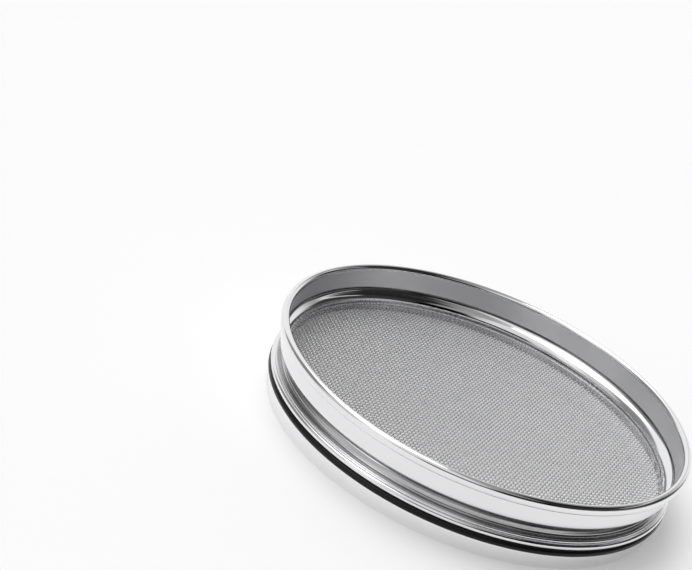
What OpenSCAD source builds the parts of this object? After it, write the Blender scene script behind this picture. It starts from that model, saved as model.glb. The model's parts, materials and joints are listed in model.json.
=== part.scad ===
// Half-height test sieve with a 200 mm frame and woven wire cloth of 1 mm aperture.
// Two rings spun from sheet grip the edge of the cloth in a rolled hem. The skirt of one
// sieve drops into the socket of the next, and a rubber ring under the hem seals them.
// The origin is the centre of the foot circle, and +Z runs up through the rim. Millimetres.

/* [Frame] */
// Inner diameter of the socket, which takes the skirt of the sieve above
socket_d = 200; // [160:10:300]
// Height from the foot of the skirt to the top of the rim
height = 36.8; // [33.8:0.2:60.8]
// Thickness of the sheet that both rings are spun from
sheet = 0.7; // [0.66:0.02:0.72]

/* [Rim] */
// Width of the rolled rim, from the socket wall to its outer edge
rim_w = 4; // [3.8:0.1:5]
// Height of the rolled rim
rim_h = 5; // [5:0.1:7]

/* [Shoulder and neck] */
// How far the neck stands in from the socket wall
neck_in = 4; // [3:0.5:4.5]
// Height of the straight neck
neck_h = 1.1; // [0.6:0.1:4]
// Bend radius at the foot of the neck, on the middle of the sheet
flare_bend = 1.8; // [1.4:0.1:2.4]
// Width of the flat land between the neck and the hem
land_w = 0.9; // [0.6:0.1:2]

/* [Skirt] */
// How far the skirt is smaller across than the socket
skirt_play = 0.6; // [0.4:0.1:1]
// Height of the skirt's straight wall
skirt_h = 6.9; // [5:0.1:8]
// Depth of the groove above the skirt, where the sealing ring sits
groove_in = 1.4; // [1.2:0.1:1.6]

/* [Sealing ring] */
// Diameter of the sealing ring's round section
seal_d = 3.6; // [3.2:0.1:4]

/* [Wire cloth] */
// Clear width of each square opening in the cloth
aperture = 1; // [0.8:0.1:2]
// Diameter of the wires
wire_d = 0.56; // [0.4:0.02:0.6]
// Turn of the wires about the sieve's axis, in degrees
weave_turn = -13; // [-45:1:45]

/* [Hidden] */

// Facets of a ring's turn, of the bends and rounds in its section, and of a wire
turn_fn = 180;
bend_fn = 48;
wire_fn = 16;

// Clearance between pieces that are pressed together
seat_gap = 0.02;

// Angles whose sine and cosine are whole thirteenths or fifths, so that bends end on
// round numbers
steep = atan2(12, 5);
curl_turn = 90 + atan2(3, 4);
wedge_reach = 5 * 13;

// The shoulder's two bends share its height, with the wider bend at the neck
neck_bend_share = 0.6;
shoulder_bends = neck_in / (1 - cos(steep));
shoulder_h = shoulder_bends * sin(steep);

// Other bends, on the middle of the sheet
rim_bend = rim_w / 2 - sheet / 2;
step_bend = 0.55;
flange_bend = 0.6;
groove_bend = groove_in / (2 * (1 - cos(steep)));
groove_step_h = 2 * groove_bend * sin(steep);
foot_round = sheet / 2;

// Radii of the middle of the sheet
wall_r = socket_d / 2 + sheet / 2;
neck_r = wall_r - neck_in;
land_r = neck_r + flare_bend + land_w;
hem_r = land_r + 2 * step_bend;
skirt_r = socket_d / 2 - skirt_play / 2 - sheet / 2;
groove_r = skirt_r - groove_in;

// Sealing ring: it touches the groove, the skirt's upper bend and the underside of the hem
seal_r = groove_r + sheet / 2 + seat_gap + seal_d / 2;
seal_reach = groove_bend + sheet / 2 + seat_gap + seal_d / 2;
seal_side = seal_r - skirt_r + groove_bend;
seal_z = skirt_h + ceil(100 * sqrt(pow(seal_reach, 2) - pow(seal_side, 2))) / 100;

// Hem: it folds round the cloth and the lower ring's flange
cloth_h = 2 * wire_d + seat_gap;
hem_inner_h = cloth_h + sheet + 3 * seat_gap;
hem_bend = (hem_inner_h + sheet) / 2;
hem_leg = 0.9;
hem_low_z = seal_z + seal_d / 2 + seat_gap + sheet / 2;
flange_z = hem_low_z + sheet + seat_gap;
cloth_low_z = flange_z + sheet / 2 + seat_gap;
cloth_top_z = cloth_low_z + cloth_h;
land_z = hem_low_z + 2 * hem_bend + 2 * step_bend;
flare_z = land_z + flare_bend;
wall_h = height - rim_w / 2 - (flare_z + neck_h + shoulder_h);

// Tension ring: it fills the space between the cloth and the flare
tension_h = 2.35;
tension_in_r = neck_r - sheet / 2;
tension_out_r = land_r - 0.15;

// Cloth: two layers of parallel wires
pitch = aperture + wire_d;
wires_each_side = floor((hem_r - 2 * wire_d) / pitch);

// A sheet section is a path along the middle of the sheet. A pose is [x, y, heading], and
// a move is [length, 0] for a straight, or [bend radius, angle] for a bend, left positive.
function bend_centre(p, m) = [
    p[0] - sign(m[1]) * m[0] * sin(p[2]),
    p[1] + sign(m[1]) * m[0] * cos(p[2])
];
function after(p, m) = m[1] == 0
    ? [p[0] + m[0] * cos(p[2]), p[1] + m[0] * sin(p[2]), p[2]]
    : let (c = bend_centre(p, m), h = p[2] + m[1], out = sign(m[1]) * m[0])
      [c[0] + out * sin(h), c[1] - out * cos(h), h];

// Straight stretch of sheet, starting at pose p
module straight_strip(p, length) {
    along = [cos(p[2]), sin(p[2])];
    across = [-along[1], along[0]] * sheet / 2;
    start = [p[0], p[1]];
    finish = start + along * length;
    polygon([start + across, start - across, finish - across, finish + across]);
}

// Wedge of a plane with its point at the origin, reaching out past every bend
module wedge(from, to) {
    steps = ceil(abs(to - from) / 60);
    polygon([
        [0, 0],
        for (i = [0:steps])
            let (a = from + (to - from) * i / steps)
            wedge_reach * [cos(a), sin(a)]
    ]);
}

// Bent stretch of sheet, starting at pose p
module bent_strip(p, radius, angle) {
    from = p[2] - sign(angle) * 90;
    translate(bend_centre(p, [radius, angle]))
        intersection() {
            difference() {
                circle(r = radius + sheet / 2, $fn = bend_fn);
                circle(r = radius - sheet / 2, $fn = bend_fn);
            }
            wedge(from, from + angle);
        }
}

// Whole sheet section, from pose p through the moves in turn
module sheet_section(p, moves, i = 0) {
    if (i < len(moves)) {
        m = moves[i];
        if (m[1] == 0)
            straight_strip(p, m[0]);
        else
            bent_strip(p, m[0], m[1]);
        sheet_section(after(p, m), moves, i + 1);
    }
}

// Upper ring: hem, step, land, flare, neck, shoulder, socket wall and rolled rim
module upper_frame() {
    color("silver")
        rotate_extrude($fn = turn_fn)
            sheet_section([hem_r - hem_leg, hem_low_z, 0], [
                [hem_leg, 0],
                [hem_bend, 180],
                [step_bend, -90],
                [step_bend, 90],
                [land_w, 0],
                [flare_bend, -90],
                [neck_h, 0],
                [shoulder_bends * neck_bend_share, -steep],
                [shoulder_bends * (1 - neck_bend_share), steep],
                [wall_h, 0],
                [rim_bend, -180],
                [rim_h - rim_w, 0],
                [rim_bend, -curl_turn]
            ]);
}

// What is cut away to round the outer edge of the foot
module foot_corner_cut() {
    corner = skirt_r + sheet / 2;
    difference() {
        translate([corner - foot_round, -1])
            square([foot_round + 1, foot_round + 1]);
        translate([corner - foot_round, foot_round])
            circle(r = foot_round, $fn = bend_fn);
    }
}

// Lower ring: skirt, groove for the seal, and the flange that lies in the hem
module lower_frame() {
    color("gainsboro")
        rotate_extrude($fn = turn_fn)
            difference() {
                sheet_section([skirt_r, 0, 90], [
                    [skirt_h, 0],
                    [groove_bend, steep],
                    [groove_bend, -steep],
                    [flange_z - flange_bend - skirt_h - groove_step_h, 0],
                    [flange_bend, -90],
                    [hem_r - groove_r - flange_bend, 0]
                ]);
                foot_corner_cut();
            }
}

// Ring on top of the cloth, bedded against the flare and the underside of the land
module tension_ring() {
    bed_r = neck_r + flare_bend;
    bed_bend = flare_bend + sheet / 2 + seat_gap;
    foot_z = cloth_top_z + seat_gap;
    color("darkgray")
        rotate_extrude($fn = turn_fn)
            difference() {
                translate([tension_in_r, foot_z])
                    square([tension_out_r - tension_in_r, tension_h]);
                translate([bed_r, flare_z])
                    circle(r = bed_bend, $fn = bend_fn);
                translate([bed_r, flare_z - bed_bend])
                    square([tension_out_r, tension_h]);
            }
}

// Rubber ring in the groove, under the hem
module sealing_ring() {
    color("black")
        rotate_extrude($fn = turn_fn)
            translate([seal_r, seal_z])
                circle(d = seal_d, $fn = bend_fn);
}

// One layer of the cloth: parallel wires along X, each cut off inside the hem
module wire_layer(z) {
    for (i = [-wires_each_side:wires_each_side]) {
        outer_side = abs(i) * pitch + wire_d / 2;
        half = sqrt(pow(hem_r, 2) - pow(outer_side, 2));
        translate([-half, i * pitch, z])
            rotate([0, 90, 0])
                cylinder(d = wire_d, h = 2 * half, $fn = wire_fn);
    }
}

module warp_wires() {
    color("lightgray")
        rotate([0, 0, weave_turn])
            wire_layer(cloth_top_z - wire_d / 2);
}

module weft_wires() {
    color("gray")
        rotate([0, 0, weave_turn + 90])
            wire_layer(cloth_low_z + wire_d / 2);
}

upper_frame();
lower_frame();
tension_ring();
sealing_ring();
warp_wires();
weft_wires();
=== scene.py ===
# %% [markdown]
# # A half-height test sieve
# A test sieve is two spun steel rings with a disc of woven wire held tight between them,
# and a rubber seal that closes the joint with the next sieve down. The CAD model already
# holds the true sizes and every sheet thickness, and its wires are straight rods in two
# layers. This lesson keeps each piece in the place that the CAD gives it, and makes what
# the eye looks for in polished steel: smooth curvature, a real weave, fine spinning marks
# and a studio to reflect.

# %% Load the fixed frame
import json
import math

import bpy
import numpy as np
from mathutils import Matrix, Vector


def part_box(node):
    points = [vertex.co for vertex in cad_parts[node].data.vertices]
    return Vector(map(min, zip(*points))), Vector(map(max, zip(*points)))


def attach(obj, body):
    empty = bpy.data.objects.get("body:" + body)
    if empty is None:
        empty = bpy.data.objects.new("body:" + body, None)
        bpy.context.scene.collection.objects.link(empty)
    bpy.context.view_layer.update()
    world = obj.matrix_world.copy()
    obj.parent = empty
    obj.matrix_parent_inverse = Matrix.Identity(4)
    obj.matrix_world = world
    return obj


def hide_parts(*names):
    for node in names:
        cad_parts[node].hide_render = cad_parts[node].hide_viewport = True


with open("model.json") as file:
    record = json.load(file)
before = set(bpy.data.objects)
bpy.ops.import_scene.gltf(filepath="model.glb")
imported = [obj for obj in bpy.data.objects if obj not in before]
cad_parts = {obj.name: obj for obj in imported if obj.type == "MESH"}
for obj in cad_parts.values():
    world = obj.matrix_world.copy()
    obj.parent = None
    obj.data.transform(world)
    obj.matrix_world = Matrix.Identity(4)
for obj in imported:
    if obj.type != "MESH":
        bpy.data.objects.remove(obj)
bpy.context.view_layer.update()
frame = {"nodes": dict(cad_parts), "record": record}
print("CAD nodes:", sorted(frame["nodes"]))

# %% [markdown]
# ## Sizes
# Lengths are in metres, as Blender's are. The boxes of the CAD nodes and the mounts in the
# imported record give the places. Only what they can't say, such as the sheet's thickness
# and its bends, is written again here.

# %% Sizes that the frame gives
MM = 0.001
mounts = {mount["name"]: mount for mount in frame["record"]["mounts"]}
socket_r = mounts["nest_socket"]["dims"]["r_mm"] * MM
skirt_out_r = mounts["skirt_spigot"]["dims"]["r_mm"] * MM
upper_low, upper_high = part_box("upper_frame")
seal_low, seal_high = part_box("sealing_ring")
tension_low, tension_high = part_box("tension_ring")
cloth_low_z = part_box("weft_wires")[0][2]
cloth_top_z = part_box("warp_wires")[1][2]
rim_top_z = upper_high[2]
rim_out_r = upper_high[0]
hem_foot_z = upper_low[2]
print(f"rim {2 * rim_out_r / MM:.1f} mm across, {rim_top_z / MM:.1f} mm above the foot")

# %% [markdown]
# ### The sheet and its bends
# Both rings are spun from the same thin sheet. Every bend here is measured on the middle
# of the sheet, where the metal hardly stretches or shortens as it bends. The lengths could
# be read off the CAD mesh, but a few named sizes are easier to follow, and the rest is
# worked out from them and from the socket's radius.

# %% Sizes of the sheet and its bends
SHEET = 0.7 * MM
RIM_H = 5 * MM
CURL_TURN = math.pi / 2 + math.atan2(3, 4)  # turn of the last bend, under the rim
STEEP = math.atan2(12, 5)  # turn of each bend in the shoulder and in the groove
NECK_IN = 4 * MM  # how far the neck stands in from the wall
NECK_BEND_SHARE = 0.6  # share of the shoulder that its lower bend takes
NECK_H = 1.1 * MM
FLARE_BEND = 1.8 * MM
LAND_W = 0.9 * MM  # flat between the flare and the step down to the hem
STEP_BEND = 0.55 * MM
HEM_BEND = 1.3 * MM
HEM_LEG = 0.9 * MM  # straight end of the hem, under the flange of the lower ring
SKIRT_H = 6.9 * MM
GROOVE_IN = 1.4 * MM  # how far the groove for the seal stands in from the skirt
FLANGE_BEND = 0.6 * MM
SEAT_GAP = 0.02 * MM  # clearance between pieces that are pressed together

wall_r = socket_r + SHEET / 2
neck_r = wall_r - NECK_IN
hem_r = neck_r + FLARE_BEND + LAND_W + 2 * STEP_BEND
hem_low_z = hem_foot_z + SHEET / 2
land_z = hem_low_z + 2 * HEM_BEND + 2 * STEP_BEND
rim_w = rim_out_r - socket_r
rim_bend = (rim_w - SHEET) / 2
shoulder_bends = NECK_IN / (1 - math.cos(STEEP))
shoulder_h = shoulder_bends * math.sin(STEEP)
wall_h = rim_top_z - rim_w / 2 - land_z - FLARE_BEND - NECK_H - shoulder_h
print(f"neck {2 * neck_r / MM:.1f} mm across, socket wall {wall_h / MM:.2f} mm high")

# %% [markdown]
# ## Spun rings
# A spinner presses a flat disc over a turning form, so a spun ring is one strip of sheet
# bent along its section and the same all the way round. The section could be drawn by
# hand and given a Solidify modifier, but a path of straights and bends says what the
# spinner did. The path runs along the middle of the sheet, and its two faces lie half a
# sheet to either side. A Screw modifier could turn it. Here the turned surface is worked
# out as one array, because then the spacing of points can follow the bends.

# %% Path of a sheet's section
BEND_STEP = math.radians(9)


def sheet_path(start, heading, moves):
    """Points and left-hand normals along the middle of the sheet.

    A move is (length, 0) for a straight, or (radius, angle) for a bend, left positive.
    On a bend the point is the centre plus radius times the outward direction, and the
    direction turns evenly from the bend's first heading to its last."""
    at = np.array(start, float)
    points, normals = [], []
    for size, angle in moves:
        if angle == 0:
            along = np.array([math.cos(heading), math.sin(heading)])
            run = np.stack([at, at + size * along])
            side = np.array([[-math.sin(heading), math.cos(heading)]] * 2)
        else:
            turn = math.copysign(1, angle)
            count = max(3, math.ceil(abs(angle) / BEND_STEP) + 1)
            headings = heading + np.linspace(0, angle, count)
            side = np.stack([-np.sin(headings), np.cos(headings)], axis=1)
            centre = at + turn * size * side[0]
            run = centre - turn * size * side
            heading += angle
        keep = slice(1, None) if points else slice(None)
        points.append(run[keep])
        normals.append(side[keep])
        at = run[-1]
    return np.concatenate(points), np.concatenate(normals)


def sheet_outline(start, heading, moves):
    """Closed outline of the sheet: each point moved half a sheet to the right along its
    normal on the way out, and half a sheet to the left on the way back."""
    points, normals = sheet_path(start, heading, moves)
    right = points - normals * SHEET / 2
    left = points + normals * SHEET / 2
    return np.concatenate([right, left[::-1]])


bend_points, _ = sheet_path((0, 0), 0, [(FLARE_BEND, math.pi / 2)])
print(f"a quarter bend is {len(bend_points)} points, {math.degrees(BEND_STEP):.0f} degrees apart")

# %% [markdown]
# ### From outline to surface
# Turning the outline gives a grid with one direction along the section and one round the
# axis. A grid is all quads, so it shades cleanly, and numpy works out every point at once.
# Points could be added to a mesh one by one, but foreach_set takes a whole array, which is
# far quicker. Edges sharper than forty degrees, such as the cut edge of the sheet, are
# marked sharp, so that the bends beside them stay smooth.

# %% Turned surface
TURN_STEPS = 384
SHARP_ANGLE = math.radians(40)


def new_mesh_object(name, vertices, quads):
    """A mesh object at the origin from an array of points and an array of quads."""
    mesh = bpy.data.meshes.new(name)
    mesh.vertices.add(len(vertices))
    mesh.vertices.foreach_set("co", vertices.astype(np.float32).ravel())
    mesh.loops.add(quads.size)
    mesh.loops.foreach_set("vertex_index", quads.astype(np.int32).ravel())
    mesh.polygons.add(len(quads))
    mesh.polygons.foreach_set("loop_start", np.arange(len(quads), dtype=np.int32) * 4)
    mesh.polygons.foreach_set("use_smooth", np.ones(len(quads), dtype=bool))
    mesh.update(calc_edges=True)
    mesh.validate()
    piece = bpy.data.objects.new(name, mesh)
    bpy.context.scene.collection.objects.link(piece)
    print(f"{name}: {2 * len(quads)} triangles")
    return piece


def turned(name, outline):
    """Surface of a closed outline (r, z) turned about Z.

    Point (i, j) is (r_j cos a_i, r_j sin a_i, z_j), with a_i = 2 pi i / steps, and each
    quad joins neighbours in i and j, with both wrapped round. An outline that runs
    clockwise has a negative area, half the sum of r_j z_j+1 - r_j+1 z_j, and then the
    quads are turned over, so that the faces point outwards."""
    angles = np.arange(TURN_STEPS) * 2 * math.pi / TURN_STEPS
    r, z = outline.T
    vertices = np.stack([
        np.cos(angles)[:, None] * r,
        np.sin(angles)[:, None] * r,
        np.broadcast_to(z, (TURN_STEPS, len(z))),
    ], axis=-1).reshape(-1, 3)
    count = len(outline)
    i, j = np.meshgrid(np.arange(TURN_STEPS), np.arange(count), indexing="ij")
    i2, j2 = (i + 1) % TURN_STEPS, (j + 1) % count
    quads = np.stack([i * count + j, i2 * count + j, i2 * count + j2, i * count + j2], axis=-1)
    area = np.sum(r * np.roll(z, -1) - np.roll(r, -1) * z) / 2
    if area < 0:
        quads = quads[..., ::-1]
    piece = new_mesh_object(name, vertices, quads.reshape(-1, 4))
    piece.data.set_sharp_from_angle(angle=SHARP_ANGLE)
    return piece


print(f"{TURN_STEPS} steps round: the rim is off a true circle by at most "
      f"{rim_out_r * (1 - math.cos(math.pi / TURN_STEPS)) / MM:.4f} mm")

# %% [markdown]
# ### Upper ring
# From the inside end of the hem, the sheet runs out, folds over the edge of the cloth,
# steps up to a flat land, flares into the neck, swings out over the shoulder and climbs
# the socket wall to the rolled rim. The roll stops just short of the wall, so the small
# dark gap under the rim is real.

# %% Upper ring
upper_ring = turned("upper_ring", sheet_outline((hem_r - HEM_LEG, hem_low_z), 0, [
    (HEM_LEG, 0),
    (HEM_BEND, math.pi),
    (STEP_BEND, -math.pi / 2),
    (STEP_BEND, math.pi / 2),
    (LAND_W, 0),
    (FLARE_BEND, -math.pi / 2),
    (NECK_H, 0),
    (shoulder_bends * NECK_BEND_SHARE, -STEEP),
    (shoulder_bends * (1 - NECK_BEND_SHARE), STEEP),
    (wall_h, 0),
    (rim_bend, -math.pi),
    (RIM_H - rim_w, 0),
    (rim_bend, -CURL_TURN),
]))

# %% [markdown]
# ### Lower ring
# The skirt drops into the socket of the sieve below. Above it the sheet steps in to leave
# a groove for the seal, and then turns out into the flange that lies inside the hem. The
# foot's outer edge is rounded, so that one sieve finds its way into the next. A Bevel
# modifier could round it, but an arc in the outline needs no marked edge.

# %% Lower ring
FOOT_POINTS = 5


def arc(centre, radius, first, last, count):
    """Points of an arc: the centre plus radius times (cos a, sin a), with the angle a at
    even steps from first to last."""
    angles = np.linspace(first, last, count)
    return centre + radius * np.stack([np.cos(angles), np.sin(angles)], axis=1)


skirt_r = skirt_out_r - SHEET / 2
groove_r = skirt_r - GROOVE_IN
groove_bend = GROOVE_IN / (2 * (1 - math.cos(STEEP)))
groove_step_h = 2 * groove_bend * math.sin(STEEP)
flange_z = hem_low_z + SHEET + SEAT_GAP
lower_outline = sheet_outline((skirt_r, 0), math.pi / 2, [
    (SKIRT_H, 0),
    (groove_bend, STEEP),
    (groove_bend, -STEEP),
    (flange_z - FLANGE_BEND - SKIRT_H - groove_step_h, 0),
    (FLANGE_BEND, -math.pi / 2),
    (hem_r - groove_r - FLANGE_BEND, 0),
])
foot_round = arc((skirt_r, SHEET / 2), SHEET / 2, -math.pi / 2, 0, FOOT_POINTS)
lower_ring = turned("lower_ring", np.concatenate([foot_round, lower_outline[1:]]))

# %% [markdown]
# ### Ring that holds the cloth
# A solid ring lies on the cloth and is bedded against the flare of the neck. A Boolean
# modifier could cut the flare out of a plain ring, but it leaves untidy faces. The top is
# the flare's own circle with a hair of clearance, so it is drawn as an arc.

# %% Tension ring
BED_POINTS = 14
bed_r = neck_r + FLARE_BEND
bed_z = land_z + FLARE_BEND
bed_bend = FLARE_BEND + SHEET / 2 + SEAT_GAP
tension_in_r = neck_r - SHEET / 2
tension_out_r = tension_high[0]
tip_angle = math.asin((tension_high[2] - bed_z) / bed_bend)
bed = arc((bed_r, bed_z), bed_bend, math.pi - tip_angle, 1.5 * math.pi, BED_POINTS)
clamp_ring = turned("clamp_ring", np.concatenate([
    [(tension_in_r, tension_high[2])],
    bed,
    [(tension_out_r, bed_z - bed_bend), (tension_out_r, tension_low[2]), (tension_in_r, tension_low[2])],
]))

# %% [markdown]
# ### Seal
# The seal is a plain rubber ring with a round section, which sits in the groove under the
# hem. Blender has a torus of its own, but a circle turned about Z uses the same function
# as the rings, and so its faces, its name and its place are made in the same way.

# %% Seal
SEAL_POINTS = 28
seal_section_r = (seal_high[2] - seal_low[2]) / 2
seal_z = (seal_high[2] + seal_low[2]) / 2
seal_r = seal_high[0] - seal_section_r
seal_circle = arc((seal_r, seal_z), seal_section_r, 0, 2 * math.pi, SEAL_POINTS + 1)
seal_ring = turned("seal_ring", seal_circle[:-1])

# %% [markdown]
# ## Woven cloth
# Plain weave takes each wire over one crossing wire and under the next, and the wires on
# either side of it do the opposite. Some two hundred and fifty wires cross each other over
# twelve thousand times, so every crossing has to be cheap. Each wire is a six-sided tube
# with two rings of points to a crossing: it lies level where it crosses another wire, and
# slopes from there to the next. Smooth shading makes that read as a round, wavy wire.

# %% Weave sizes
APERTURE = 1.0 * MM
WIRE_D = 0.56 * MM
WEAVE_TURN = math.radians(-13)
WIRE_SIDES = 6
END_QUADS = np.array([[0, 1, 2, 3], [0, 3, 4, 5]])  # the six corners of a wire's end
LEVEL_SHARE = 0.2  # of the pitch, level to each side of a crossing
EDGE_MARGIN = 0.9 * MM  # from the ends of the wires to the fold of the hem
cloth_r = hem_r - EDGE_MARGIN
pitch = APERTURE + WIRE_D
cloth_z = (cloth_low_z + cloth_top_z) / 2
last_wire = math.floor((cloth_r - WIRE_D) / pitch)
print(f"{2 * last_wire + 1} wires each way, {pitch / MM:.2f} mm apart")

# %% [markdown]
# ### One wire
# On the loom a wire is bent by the wires that it crosses. A curve object with a round
# bevel could follow that wave, but hundreds of them are slow and heavy. The six-sided tube
# is worked out directly, with its ring points square to the slope, and two quads close
# each of its ends.

# %% One wire


def wire_wave(index, over_first):
    """x and height along the middle of one wire, which lies at y = index times the pitch.

    The height is half a wire up where crossing + index + over_first is even, and half a
    wire down where it is odd. The wire is level for a share of the pitch on each side of
    a crossing and straight in between, and ends where its side meets the cloth's edge."""
    half = math.sqrt(cloth_r ** 2 - (abs(index * pitch) + WIRE_D / 2) ** 2)
    crossings = np.arange(-last_wire - 1, last_wire + 2)
    sign = np.where((crossings + index + over_first) % 2 == 0, 1.0, -1.0)
    bend_x = (crossings[:, None] + np.array([-LEVEL_SHARE, LEVEL_SHARE])).ravel() * pitch
    bend_z = np.repeat(sign, 2) * WIRE_D / 2
    inside = bend_x[np.abs(bend_x) < half - WIRE_D / 4]
    x = np.concatenate([[-half], inside, [half]])
    return x, np.interp(x, bend_x, bend_z)


def woven_wire(index, over_first):
    """Points and quads of one wire along X.

    A ring point is middle + radius (cos a side + sin a up), where side is Y and up is
    square to the wire's slope. Quads join neighbouring rings, and two close each end."""
    x, z = wire_wave(index, over_first)
    slope = np.gradient(z, x)
    up = np.stack([-slope, np.zeros_like(x), np.ones_like(x)], axis=1)
    up /= np.linalg.norm(up, axis=1)[:, None]
    side = np.array([0.0, 1.0, 0.0])
    middle = np.stack([x, np.full_like(x, index * pitch), z], axis=1)
    angles = (np.arange(WIRE_SIDES) + 0.5) * 2 * math.pi / WIRE_SIDES
    rings = middle[:, None] + WIRE_D / 2 * (
        np.cos(angles)[None, :, None] * side + np.sin(angles)[None, :, None] * up[:, None]
    )
    i, j = np.meshgrid(np.arange(len(x) - 1), np.arange(WIRE_SIDES), indexing="ij")
    corner, beside = i * WIRE_SIDES + j, i * WIRE_SIDES + (j + 1) % WIRE_SIDES
    walls = np.stack([corner, corner + WIRE_SIDES, beside + WIRE_SIDES, beside], axis=-1)
    far_end = END_QUADS[:, ::-1] + (len(x) - 1) * WIRE_SIDES
    return rings.reshape(-1, 3), np.concatenate([walls.reshape(-1, 4), END_QUADS, far_end])


sample_points, sample_quads = woven_wire(0, 0)
print(f"the middle wire: {len(sample_points)} points, {len(sample_quads)} quads")

# %% [markdown]
# ### Warp and weft
# The long wires of the loom are the warp and the crossing ones the weft. Each set is made
# as two halves, so that no piece grows past two hundred thousand triangles. The cloth is
# turned thirteen degrees in its ring, because a fitter doesn't line it up with anything.

# %% Warp and weft


def wire_set(name, indexes, turn, over_first):
    """Many wires as one piece, turned about Z and lifted to the middle of the cloth: a
    point (x, y, z) goes to (x cos t - y sin t, x sin t + y cos t, z + middle)."""
    points, quads, count = [], [], 0
    for index in indexes:
        wire_points, wire_quads = woven_wire(index, over_first)
        points.append(wire_points)
        quads.append(wire_quads + count)
        count += len(wire_points)
    points = np.concatenate(points)
    c, s = math.cos(turn), math.sin(turn)
    turned_points = np.stack([
        c * points[:, 0] - s * points[:, 1],
        s * points[:, 0] + c * points[:, 1],
        points[:, 2] + cloth_z,
    ], axis=1)
    return new_mesh_object(name, turned_points, np.concatenate(quads))


low_half = range(-last_wire, 0)
high_half = range(0, last_wire + 1)
quarter = math.pi / 2
warp_pieces = [
    wire_set("warp_near", low_half, WEAVE_TURN, 0),
    wire_set("warp_far", high_half, WEAVE_TURN, 0),
]
weft_pieces = [
    wire_set("weft_right", low_half, WEAVE_TURN + quarter, 1),
    wire_set("weft_left", high_half, WEAVE_TURN + quarter, 1),
]

# %% [markdown]
# ## Finishes
# Polished steel has almost no colour of its own. What makes it read as spun sheet is how
# it smears a reflection: a lathe leaves fine marks that run round the axis, and handling
# leaves faint cloudy patches. Both are patterns on Object coordinates, so they stay put
# when the camera moves. Several finishes share them, so each is a node group with named
# inputs. Building nodes takes many small steps, so a few helpers come first.

# %% Helpers for single nodes


def link_or_set(tree, value, socket):
    """Feed a socket with another node's output, or set it to a number."""
    if isinstance(value, (int, float)):
        socket.default_value = value
    else:
        tree.links.new(value, socket)


def math_node(tree, operation, first, second=None, clamp=False):
    """One Math node. An input is a number or another node's output."""
    node = tree.nodes.new("ShaderNodeMath")
    node.operation = operation
    node.use_clamp = clamp
    link_or_set(tree, first, node.inputs[0])
    if second is not None:
        link_or_set(tree, second, node.inputs[1])
    return node.outputs[0]


def plus(tree, first, second, clamp=False):
    """The sum of two inputs, held between 0 and 1 if clamp is set."""
    return math_node(tree, "ADD", first, second, clamp)


def times(tree, first, second, clamp=False):
    """The product of two inputs, held between 0 and 1 if clamp is set."""
    return math_node(tree, "MULTIPLY", first, second, clamp)


print("helpers:", ", ".join(helper.__name__ for helper in (link_or_set, math_node, plus, times)))

# %% [markdown]
# ### Places and groups
# Every pattern starts from a place on the piece, and most of them end in noise. These
# helpers take a place apart, measure its distance from the axis and look up the noise
# there. Python code could repeat the nodes in each material, but a group keeps them once,
# and its inputs and outputs are made through its interface.

# %% Helpers for places and groups


def split_vector(tree, vector):
    """The x, y and z of a vector."""
    node = tree.nodes.new("ShaderNodeSeparateXYZ")
    tree.links.new(vector, node.inputs[0])
    return node.outputs


def from_axis(tree, x, y):
    """Distance from the Z axis: the square root of x times x plus y times y."""
    return math_node(tree, "SQRT", plus(tree, times(tree, x, x), times(tree, y, y)))


def noise_node(tree, place, dimensions="3D", **values):
    """Noise looked up at a place, with its other inputs set or linked by name."""
    node = tree.nodes.new("ShaderNodeTexNoise")
    node.noise_dimensions = dimensions
    tree.links.new(place, node.inputs["Vector"])
    for socket_name, value in values.items():
        link_or_set(tree, value, node.inputs[socket_name])
    return node.outputs["Fac"]


def new_group(name, inputs, output):
    """An empty shader node group with float inputs and one float output. Returns the
    group, its inputs and the socket that takes the result."""
    group = bpy.data.node_groups.new(name, "ShaderNodeTree")
    for socket_name, value in inputs.items():
        socket = group.interface.new_socket(socket_name, in_out="INPUT", socket_type="NodeSocketFloat")
        socket.default_value = value
    group.interface.new_socket(output, in_out="OUTPUT", socket_type="NodeSocketFloat")
    start = group.nodes.new("NodeGroupInput")
    end = group.nodes.new("NodeGroupOutput")
    return group, start.outputs, end.inputs[output]


print("helpers:", ", ".join(helper.__name__ for helper in (
    split_vector, from_axis, noise_node, new_group)))

# %% [markdown]
# ### Marks that run round the axis
# The polishing wheel touches a turning ring, so its scratches are circles. A Wave texture
# in ring mode could draw them, but it repeats evenly. Noise that changes slowly round the
# axis and fast across it gives lines that differ in depth and fade in and out, as
# scratches do.

# %% Marks that run round the axis


def make_spinning_marks():
    """Noise that is long round the axis and fine across it.

    It is looked up at four numbers: the direction from the axis (x and y, each divided by
    the distance from the axis) times the breaks, so a mark fades out and in a few times
    on its way round, and the height and the distance from the axis times the fineness."""
    group, given, result = new_group("spinning_marks", {"Fineness": 4000, "Breaks": 2}, "Height")
    x, y, z = split_vector(group, group.nodes.new("ShaderNodeTexCoord").outputs["Object"])
    radius = from_axis(group, x, y)
    place = group.nodes.new("ShaderNodeCombineXYZ")
    for across, socket in zip((x, y), place.inputs):
        direction = math_node(group, "DIVIDE", across, radius)
        group.links.new(times(group, direction, given["Breaks"]), socket)
    group.links.new(times(group, z, given["Fineness"]), place.inputs["Z"])
    fine_radius = times(group, radius, given["Fineness"])
    marks = noise_node(group, place.outputs["Vector"], "4D", W=fine_radius, Scale=1, Detail=2)
    group.links.new(marks, result)
    return group


spinning_marks = make_spinning_marks()
print("spinning_marks:", len(spinning_marks.nodes), "nodes")

# %% [markdown]
# ### Waves left by the roller
# Thin spun sheet is never quite round. Its shallow waves bend the reflections a little,
# and that is why a real ring doesn't look like a perfect computed one. The waves are too
# shallow to model, so they are soft noise for a Bump node.

# %% Waves left by the roller
UPRIGHT = (1, 1, 0.4)


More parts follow.
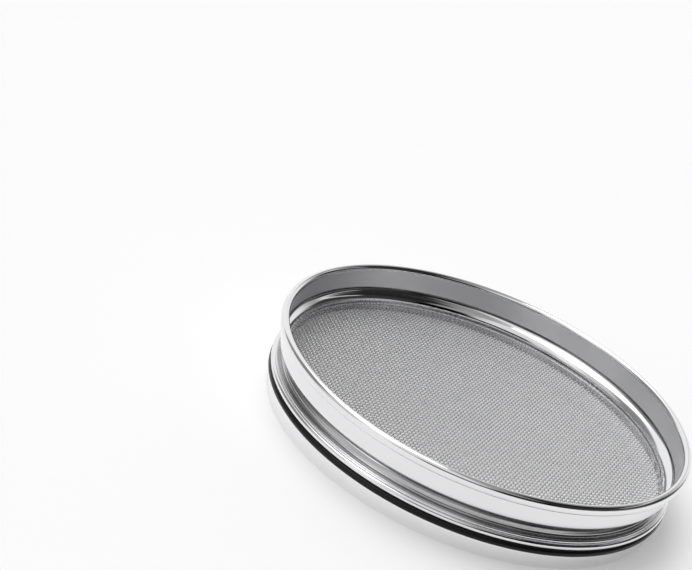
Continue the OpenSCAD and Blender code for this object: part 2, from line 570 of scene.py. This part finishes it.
def make_roller_waves():
    """Large soft noise. Its lookup point is the place on the object with the height made
    smaller, so that each wave is taller than it is wide."""
    group, given, result = new_group("roller_waves", {"Size": 30}, "Height")
    squeeze = group.nodes.new("ShaderNodeVectorMath")
    squeeze.operation = "MULTIPLY"
    squeeze.inputs[1].default_value = UPRIGHT
    group.links.new(group.nodes.new("ShaderNodeTexCoord").outputs["Object"], squeeze.inputs[0])
    group.links.new(noise_node(group, squeeze.outputs[0], Scale=given["Size"], Detail=1), result)
    return group


roller_waves = make_roller_waves()
print("roller_waves:", len(roller_waves.nodes), "nodes")

# %% [markdown]
# ### Patches left by handling
# Fingers, wash water and dust leave faint clouds that make steel duller here and there.
# The same noise at a small size gives the wire its dull spots and the rubber its grain,
# so one group serves all the finishes.

# %% Patches left by handling


def make_handling():
    """Soft noise with four levels of detail, squared so that most of the surface stays
    clean."""
    group, given, result = new_group("handling", {"Size": 25}, "Amount")
    place = group.nodes.new("ShaderNodeTexCoord").outputs["Object"]
    clouds = noise_node(group, place, Scale=given["Size"], Detail=4, Roughness=0.6)
    group.links.new(math_node(group, "POWER", clouds, 2), result)
    return group


handling = make_handling()
print("handling:", len(handling.nodes), "nodes")

# %% [markdown]
# ### Zones of a spun ring
# One strip of sheet is finished differently from place to place. Separate materials could
# be given to separate faces, but their borders would be hard lines. A mask that fades
# over half a millimetre or so mixes the finishes inside one material. It has to tell the
# inner side of the sheet from the outer one, so it reads the normal too.

# %% Zones of a spun ring
ZONE_FADE = 0.6 * MM
SIDE_SHARPNESS = 4


def make_zone():
    """1 on one side of the sheet between two heights, with soft ends.

    The side is the part of the normal that points away from the axis, times the wanted
    sign: (x nx + y ny) / sqrt(x^2 + y^2) * side. The mask rises with it, and across each
    of the two heights it rises from 0 to 1 over the length of the fade."""
    group, given, result = new_group("zone", {"Low": 0, "High": 1, "Side": 1}, "Mask")
    spot = group.nodes.new("ShaderNodeTexCoord")
    x, y, z = split_vector(group, spot.outputs["Object"])
    nx, ny, _ = split_vector(group, spot.outputs["Normal"])
    outward = plus(group, times(group, x, nx), times(group, y, ny))
    sided = times(group, math_node(group, "DIVIDE", outward, from_axis(group, x, y)), given["Side"])
    mask = times(group, sided, SIDE_SHARPNESS, clamp=True)
    for upper, lower in ((z, given["Low"]), (given["High"], z)):
        inside = times(group, math_node(group, "SUBTRACT", upper, lower), 1 / ZONE_FADE)
        mask = times(group, mask, plus(group, inside, 0.5, clamp=True))
    group.links.new(mask, result)
    return group


zone = make_zone()
print("zone:", len(zone.nodes), "nodes")

# %% [markdown]
# ### From groups to a material
# A finish is one Principled shader, and the groups feed its colour, its roughness and its
# normal. The shader could sit in a group too, but it stays in the material, where a value
# that is the same all over, such as Metallic, is set on its own socket.

# %% Helpers for materials


def new_material(name):
    """A node material with a Principled shader. Returns it, its tree and the shader."""
    material = bpy.data.materials.new(name)
    material.use_nodes = True
    tree = material.node_tree
    return material, tree, tree.nodes["Principled BSDF"]


def pattern(tree, group, **values):
    """The output of a node group placed in a material with its own values."""
    node = tree.nodes.new("ShaderNodeGroup")
    node.node_tree = group
    for socket_name, value in values.items():
        node.inputs[socket_name].default_value = value
    return node.outputs[0]


def raised_by(tree, height, distance, normal=None):
    """The normal of a surface that a height between 0 and 1 raises by up to a distance."""
    node = tree.nodes.new("ShaderNodeBump")
    node.inputs["Distance"].default_value = distance
    tree.links.new(height, node.inputs["Height"])
    if normal:
        tree.links.new(normal, node.inputs["Normal"])
    return node.outputs["Normal"]


print("helpers:", ", ".join(helper.__name__ for helper in (new_material, pattern, raised_by)))

# %% [markdown]
# ### Steel
# The steels differ in how rough they are. The upper ring is bright outside, brushed on
# the inside of the socket and dull in the neck, where the polishing wheel doesn't reach.
# Inside, painted shade darkens the foot of the wall and the foot of the neck, where shade
# falls in the corners, and the outside of the neck under the shoulder. The skirt is satin.
# One function makes them all, and a list says how far each zone is rougher and darker than
# the rest.

# %% How steel is made
MICRON = 0.001 * MM
WAVE_HEIGHT = 0.1 * MM
PATCH_DARKNESS = 0.08
# Colour of the painted shade in the corners of the upper ring, laid on in rings of spinning marks
PAINTED_SHADE = (0.02, 0.02, 0.02)
PAINTED_SHADE_RINGS = {"Fineness": 700, "Breaks": 3}


def steel(name, colour, roughness, marks, patches, fineness, mark_height, zones=()):
    """Bare steel. Its roughness is a base value, plus the marks and the cloudy patches,
    each times its share. The waves raise the surface first, and then the marks. A zone,
    given as (low, high, side, rougher, darker), adds to the roughness, and paints shade into
    the colour in rings: the mask times the ring marks times how much darker it is."""
    material, tree, shader = new_material(name)
    shader.inputs["Metallic"].default_value = 1
    lines = pattern(tree, spinning_marks, Fineness=fineness)
    clouds = pattern(tree, handling)
    rings = pattern(tree, spinning_marks, **PAINTED_SHADE_RINGS)
    rough = plus(tree, plus(tree, roughness, times(tree, lines, marks)), times(tree, clouds, patches))
    patches_and_shade = times(tree, clouds, PATCH_DARKNESS)
    for low, high, side, rougher, darker in zones:
        mask = pattern(tree, zone, Low=low, High=high, Side=side)
        rough = plus(tree, rough, times(tree, mask, rougher))
        patches_and_shade = plus(tree, patches_and_shade, times(tree, mask, times(tree, rings, darker)))
    # The colour darkens with the handling patches, which are wear, and with the zones, which are painted
    # shade.
    tint = tree.nodes.new("ShaderNodeMix")
    tint.data_type = "RGBA"
    tint.inputs["A"].default_value = (*colour, 1)
    tint.inputs["B"].default_value = (*PAINTED_SHADE, 1)
    tree.links.new(patches_and_shade, tint.inputs["Factor"])
    tree.links.new(tint.outputs["Result"], shader.inputs["Base Color"])
    tree.links.new(rough, shader.inputs["Roughness"])
    wavy = raised_by(tree, pattern(tree, roller_waves), WAVE_HEIGHT)
    tree.links.new(raised_by(tree, lines, mark_height, wavy), shader.inputs["Normal"])
    return material


print(f"steel: waves up to {WAVE_HEIGHT / MM:.1f} mm, patches up to {PATCH_DARKNESS:.0%} darker")

# %% [markdown]
# ### The three steels
# The heights of the zones follow from the bends of the section, so they stay on their
# bends if the ring's sizes change. Side is -1 for the face that looks at the axis and 1
# for the one that looks away from it.

# %% The three steels
INNER, OUTER = -1, 1
rim_low_z = rim_top_z - rim_w / 2
shoulder_top_z = rim_low_z - wall_h
bright_sheet = steel(
    "bright_sheet", colour=(0.83, 0.83, 0.84), roughness=0.05, marks=0.04, patches=0.06,
    fineness=3000, mark_height=0.1 * MICRON, zones=[
        # low, high, side, rougher, darker
        (shoulder_top_z, rim_low_z, INNER, 0.22, 0.0),  # brushed wall of the socket
        # The next three zones paint shade into the corners: the foot of the wall, the foot of the neck
        # and the outside of the neck under the shoulder.
        (shoulder_top_z - 0.9 * MM, shoulder_top_z + 0.3 * MM, INNER, 0.0, 1.6),  # foot of the wall
        (bed_z + 0.4 * MM, bed_z + 1.3 * MM, INNER, 0.0, 1.4),  # foot of the neck
        (land_z, shoulder_top_z - 1.2 * MM, OUTER, 0.10, 0.9),  # outside of the neck
    ])
# The skirt's steel colour is painted paler than the upper ring's: painted light that lifts the floor's
# shadow reflected in it.
satin_sheet = steel(
    "satin_sheet", colour=(0.89, 0.89, 0.90), roughness=0.12, marks=0.08, patches=0.08,
    fineness=4000, mark_height=0.4 * MICRON)
clamp_steel = steel(
    "clamp_steel", colour=(0.70, 0.70, 0.71), roughness=0.16, marks=0.08, patches=0.08,
    fineness=4000, mark_height=1.0 * MICRON)
for finish in (bright_sheet, satin_sheet, clamp_steel):
    print(finish.name, len(finish.node_tree.nodes), "nodes")

# %% [markdown]
# ### Wire
# Drawn wire is duller than polished sheet. One wire covers only a few pixels, so its
# finish is a change of tone and roughness from wire to wire, and the weave itself does
# the rest. A colour ramp driven by small patches gives that change. The seal's rubber
# needs the same steps, so they are a function.

# %% Wire


def patchy(name, clean, worn, patch_size, roughness, rougher, grain_size, grain_height):
    """A finish that changes with the patches of handling. The colour runs from clean to
    worn, the roughness is its base value plus the patches times a share, and a fine grain
    of the same kind raises the surface. Returns the material and its shader."""
    material, tree, shader = new_material(name)
    patches = pattern(tree, handling, Size=patch_size)
    ramp = tree.nodes.new("ShaderNodeValToRGB")
    ramp.color_ramp.elements[0].color = (*clean, 1)
    ramp.color_ramp.elements[1].color = (*worn, 1)
    tree.links.new(patches, ramp.inputs["Fac"])
    tree.links.new(ramp.outputs["Color"], shader.inputs["Base Color"])
    tree.links.new(plus(tree, roughness, times(tree, patches, rougher)), shader.inputs["Roughness"])
    grain = pattern(tree, handling, Size=grain_size)
    tree.links.new(raised_by(tree, grain, grain_height), shader.inputs["Normal"])
    return material, shader


drawn_wire, wire_shader = patchy(
    "drawn_wire", clean=(0.66, 0.66, 0.67), worn=(0.46, 0.46, 0.46), patch_size=400,
    roughness=0.18, rougher=0.2, grain_size=9000, grain_height=2 * MICRON)
wire_shader.inputs["Metallic"].default_value = 1
print(drawn_wire.name, len(drawn_wire.node_tree.nodes), "nodes")

# %% [markdown]
# ### Rubber
# The seal is black, smooth and slightly shiny, with a faint grey bloom. Plain black would
# look like a hole, so its colour, shine and skin each vary a little.

# %% Rubber
seal_rubber, rubber_shader = patchy(
    "seal_rubber", clean=(0.003, 0.003, 0.0032), worn=(0.010, 0.010, 0.0105), patch_size=60,
    roughness=0.22, rougher=0.3, grain_size=4000, grain_height=4 * MICRON)
rubber_shader.inputs["Specular IOR Level"].default_value = 0.25
print(seal_rubber.name, len(seal_rubber.node_tree.nodes), "nodes")

# %% [markdown]
# ### Hand out the finishes
# A finish is worth having only where it is used, so one table pairs each piece with its
# own. Nothing on a sieve moves, so every piece rides on the root. The broad band round the
# upper ring is left bare.

# %% Hand out the finishes
finish_of = {
    upper_ring: bright_sheet,
    lower_ring: satin_sheet,
    clamp_ring: clamp_steel,
    seal_ring: seal_rubber,
}
finish_of.update({piece: drawn_wire for piece in warp_pieces + weft_pieces})
for piece, material in finish_of.items():
    piece.data.materials.append(material)
    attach(piece, "root")
print({piece.name: material.name for piece, material in finish_of.items()})

# %% [markdown]
# ### Pieces that stand for CAD nodes
# The CAD nodes could be shown with these finishes, but their facets would break up the
# reflections and their wires are straight. So each node is replaced by the pieces made
# above, which fill the same space.

# %% Replace the CAD nodes
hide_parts("upper_frame")
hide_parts("lower_frame")
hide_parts("tension_ring")
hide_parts("sealing_ring")
for piece in warp_pieces:
    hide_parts("warp_wires")
for piece in weft_pieces:
    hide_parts("weft_wires")
print("pieces in place of CAD nodes:", len(finish_of))

# %% [markdown]
# ## Studio
# A mirror shows only its surroundings, so a polished ring in an empty white world looks
# like white plastic. A studio puts dark cards and strips of light round bright metal, so
# that each curve gets a dark line beside a light one. Area lamps and planes could do the
# same, but panels in the world light the whole floor evenly and cast no shadows of their
# own. So the world is the studio: a grey room, with the panels of one list laid over it
# in turn. A panel is placed by its turn round the sieve and its height above the floor,
# both in degrees. A turn of 0 is the front, 90 the right and -90 the left.

# %% Panels of the studio
GREY_ROOM = 0.36
PANELS = [
    # brightness, middle and half width round, middle and half height up, softness
    (0.82, -8, 32, 55, 43, 24),  # tall white card in front
    (0.28, -98, 19, 8, 33, 12),  # dim wall on the left
    (0.66, -66, 13, 32, 28, 12),  # pale wall in front on the left
    (1.00, -152, 28, 14, 36, 10),  # white wall behind on the left
    (0.95, 166, 18, 6, 20, 12),  # white wall behind, towards the right
    (0.95, -42, 11, 22, 38, 10),  # strip of light in front on the left
    (0.00, 16, 30, 12, 12, 8),  # low black card in front
    (0.00, 48, 22, 20, 20, 10),  # taller black card in front on the right
    (0.04, 100, 40, 25, 16, 8),  # dark card on the right
    (0.90, 130, 22, 35, 2, 4),  # thin strip of light behind on the right
    (0.02, 103, 44, 55, 17, 8),  # high black card on the right
    (3.65, -108, 62, 74, 22, 22),  # soft light overhead on the left
]
print(len(PANELS), "panels in a room of brightness", GREY_ROOM)

# %% [markdown]
# ### Soft edges
# A panel with a hard edge would draw a hard line across the steel. Each edge fades
# smoothly over a few degrees, as the edge of a card near bright metal does.

# %% Soft edges
HALF_TURN = 180


def spread(tree, angle, middle, half, soft):
    """1 within half of the middle, falling smoothly to 0 over soft degrees. The distance
    from the middle is wrapped, so that a panel may lie across the half turn."""
    away = math_node(tree, "WRAP", math_node(tree, "SUBTRACT", angle, middle), HALF_TURN)
    away.node.inputs[2].default_value = -HALF_TURN
    ramp = tree.nodes.new("ShaderNodeMapRange")
    ramp.interpolation_type = "SMOOTHSTEP"
    ramp.inputs["From Min"].default_value = half + soft / 2
    ramp.inputs["From Max"].default_value = half - soft / 2
    tree.links.new(math_node(tree, "ABSOLUTE", away), ramp.inputs["Value"])
    return ramp.outputs["Result"]


print("the edges fade over", min(panel[-1] for panel in PANELS), "to",
      max(panel[-1] for panel in PANELS), "degrees")

# %% [markdown]
# ### The room
# The world's brightness is one number for each direction. It starts as the grey of the
# room, and each panel mixes it towards its own brightness, so a later panel covers an
# earlier one. The light stays colourless, and the steel takes no tint from it.

# %% World


def studio_world():
    """Grey room with the panels laid over it in turn: each mixes the brightness so far
    towards its own, by the product of its spread round and its spread up.

    The turn is the angle of (x, -y), and the height is the arcsine of z, in degrees."""
    world = bpy.data.worlds.new("studio")
    world.use_nodes = True
    tree = world.node_tree
    x, y, z = split_vector(tree, tree.nodes.new("ShaderNodeTexCoord").outputs["Generated"])
    turn = times(tree, math_node(tree, "ARCTAN2", x, times(tree, y, -1)), math.degrees(1))
    height = times(tree, math_node(tree, "ARCSINE", z), math.degrees(1))
    level = GREY_ROOM
    for brightness, round_middle, round_half, up_middle, up_half, soft in PANELS:
        mask = times(
            tree,
            spread(tree, turn, round_middle, round_half, soft),
            spread(tree, height, up_middle, up_half, soft))
        mix = tree.nodes.new("ShaderNodeMix")
        link_or_set(tree, level, mix.inputs["A"])
        mix.inputs["B"].default_value = brightness
        tree.links.new(mask, mix.inputs["Factor"])
        level = mix.outputs["Result"]
    background = tree.nodes["Background"]
    background.inputs["Color"].default_value = (1, 1, 1, 1)
    tree.links.new(level, background.inputs["Strength"])
    return world


bpy.context.scene.world = studio_world()
print("studio:", len(bpy.context.scene.world.node_tree.nodes), "nodes")

# %% [markdown]
# ### Floor
# The sieve stands on matt white paper. Even white paper renders pale grey in this light,
# and more light would burn out the steel. So the paper keeps an honest colour, which
# takes the shadow, and adds a weak glow. The glow is for the camera and for rays off metal
# and through glass, and gives no light to the object. The paper is so wide that its edge
# lies on the horizon.

# %% Floor
FLOOR_HALF = 20.0
PAPER = (0.79, 0.79, 0.79)
GLOW = 0.28


def floor_finish():
    """Matt pale paper, plus a glow that only the camera and reflections see: the strength
    is the glow times the largest of the three rays. The back of the floor is clear, so
    that the sieve can be looked at from below."""
    material = bpy.data.materials.new("pale_floor")
    material.use_nodes = True
    tree = material.node_tree
    tree.nodes.clear()
    output = tree.nodes.new("ShaderNodeOutputMaterial")
    both = tree.nodes.new("ShaderNodeAddShader")
    matt = tree.nodes.new("ShaderNodeBsdfDiffuse")
    matt.inputs["Color"].default_value = (*PAPER, 1)
    glow = tree.nodes.new("ShaderNodeEmission")
    ray = tree.nodes.new("ShaderNodeLightPath")
    seen = math_node(tree, "MAXIMUM", ray.outputs["Is Camera Ray"], ray.outputs["Is Glossy Ray"])
    seen = math_node(tree, "MAXIMUM", seen, ray.outputs["Is Transmission Ray"])
    tree.links.new(times(tree, seen, GLOW), glow.inputs["Strength"])
    tree.links.new(matt.outputs[0], both.inputs[0])
    tree.links.new(glow.outputs[0], both.inputs[1])
    side = tree.nodes.new("ShaderNodeMixShader")
    tree.links.new(tree.nodes.new("ShaderNodeNewGeometry").outputs["Backfacing"], side.inputs["Fac"])
    tree.links.new(both.outputs[0], side.inputs[1])
    tree.links.new(tree.nodes.new("ShaderNodeBsdfTransparent").outputs[0], side.inputs[2])
    tree.links.new(side.outputs[0], output.inputs["Surface"])
    return material


floor_mesh = bpy.data.meshes.new("floor")
corners = [(x * FLOOR_HALF, y * FLOOR_HALF, 0) for x, y in ((-1, -1), (1, -1), (1, 1), (-1, 1))]
floor_mesh.from_pydata(corners, [], [(0, 1, 2, 3)])
floor_mesh.materials.append(floor_finish())
floor = bpy.data.objects.new("floor", floor_mesh)
bpy.context.scene.collection.objects.link(floor)
print(f"floor {2 * FLOOR_HALF:.0f} m wide, glow {GLOW}")

# %% [markdown]
# ## Camera
# The view is from the front and a little above, with the camera rolled, so that the ring
# seems to slide downhill to the right. The rim's centre isn't in the middle of the frame.
# A lens shift could place it, but turning the camera towards another point keeps the
# perspective of a real one. The turn is worked out from the direction in which the
# centre of the rim has to appear.

# %% Camera
CAMERA_ELEVATION = math.radians(24.81)
CAMERA_ROLL = math.radians(23.84)
CAMERA_DISTANCE = 0.861
FOCAL_PX = 1800.0
IMAGE_W, IMAGE_H = 692, 570
RIM_CENTRE_PX = (489.7, 375.4)
SENSOR = 36.0

# The camera's axes when it faces the centre of the rim, first level and then rolled
back = Vector((0, -math.cos(CAMERA_ELEVATION), math.sin(CAMERA_ELEVATION)))
right = Vector((1, 0, 0))
up = back.cross(right)
rolled_x = math.cos(CAMERA_ROLL) * right + math.sin(CAMERA_ROLL) * up
rolled_y = -math.sin(CAMERA_ROLL) * right + math.cos(CAMERA_ROLL) * up
facing = Matrix((rolled_x, rolled_y, back)).transposed()

# The turn that brings the centre of the rim to its place in the frame
aim_x = (RIM_CENTRE_PX[0] - IMAGE_W / 2) / FOCAL_PX
aim_y = (IMAGE_H / 2 - RIM_CENTRE_PX[1]) / FOCAL_PX
swing = Vector((aim_x, aim_y, -1)).rotation_difference(Vector((0, 0, -1))).to_matrix()
turn = (facing @ swing).to_4x4()

camera = bpy.data.objects.new("camera", bpy.data.cameras.new("camera"))
camera.data.sensor_width = SENSOR
camera.data.lens = FOCAL_PX / IMAGE_W * SENSOR
place = Vector((0, 0, rim_top_z)) + back * CAMERA_DISTANCE
camera.matrix_world = Matrix.Translation(place) @ turn
bpy.context.scene.collection.objects.link(camera)
bpy.context.scene.camera = camera
bpy.context.scene.view_settings.view_transform = "Standard"
print(f"lens {camera.data.lens:.1f} mm, {CAMERA_DISTANCE} m from the middle of the rim")
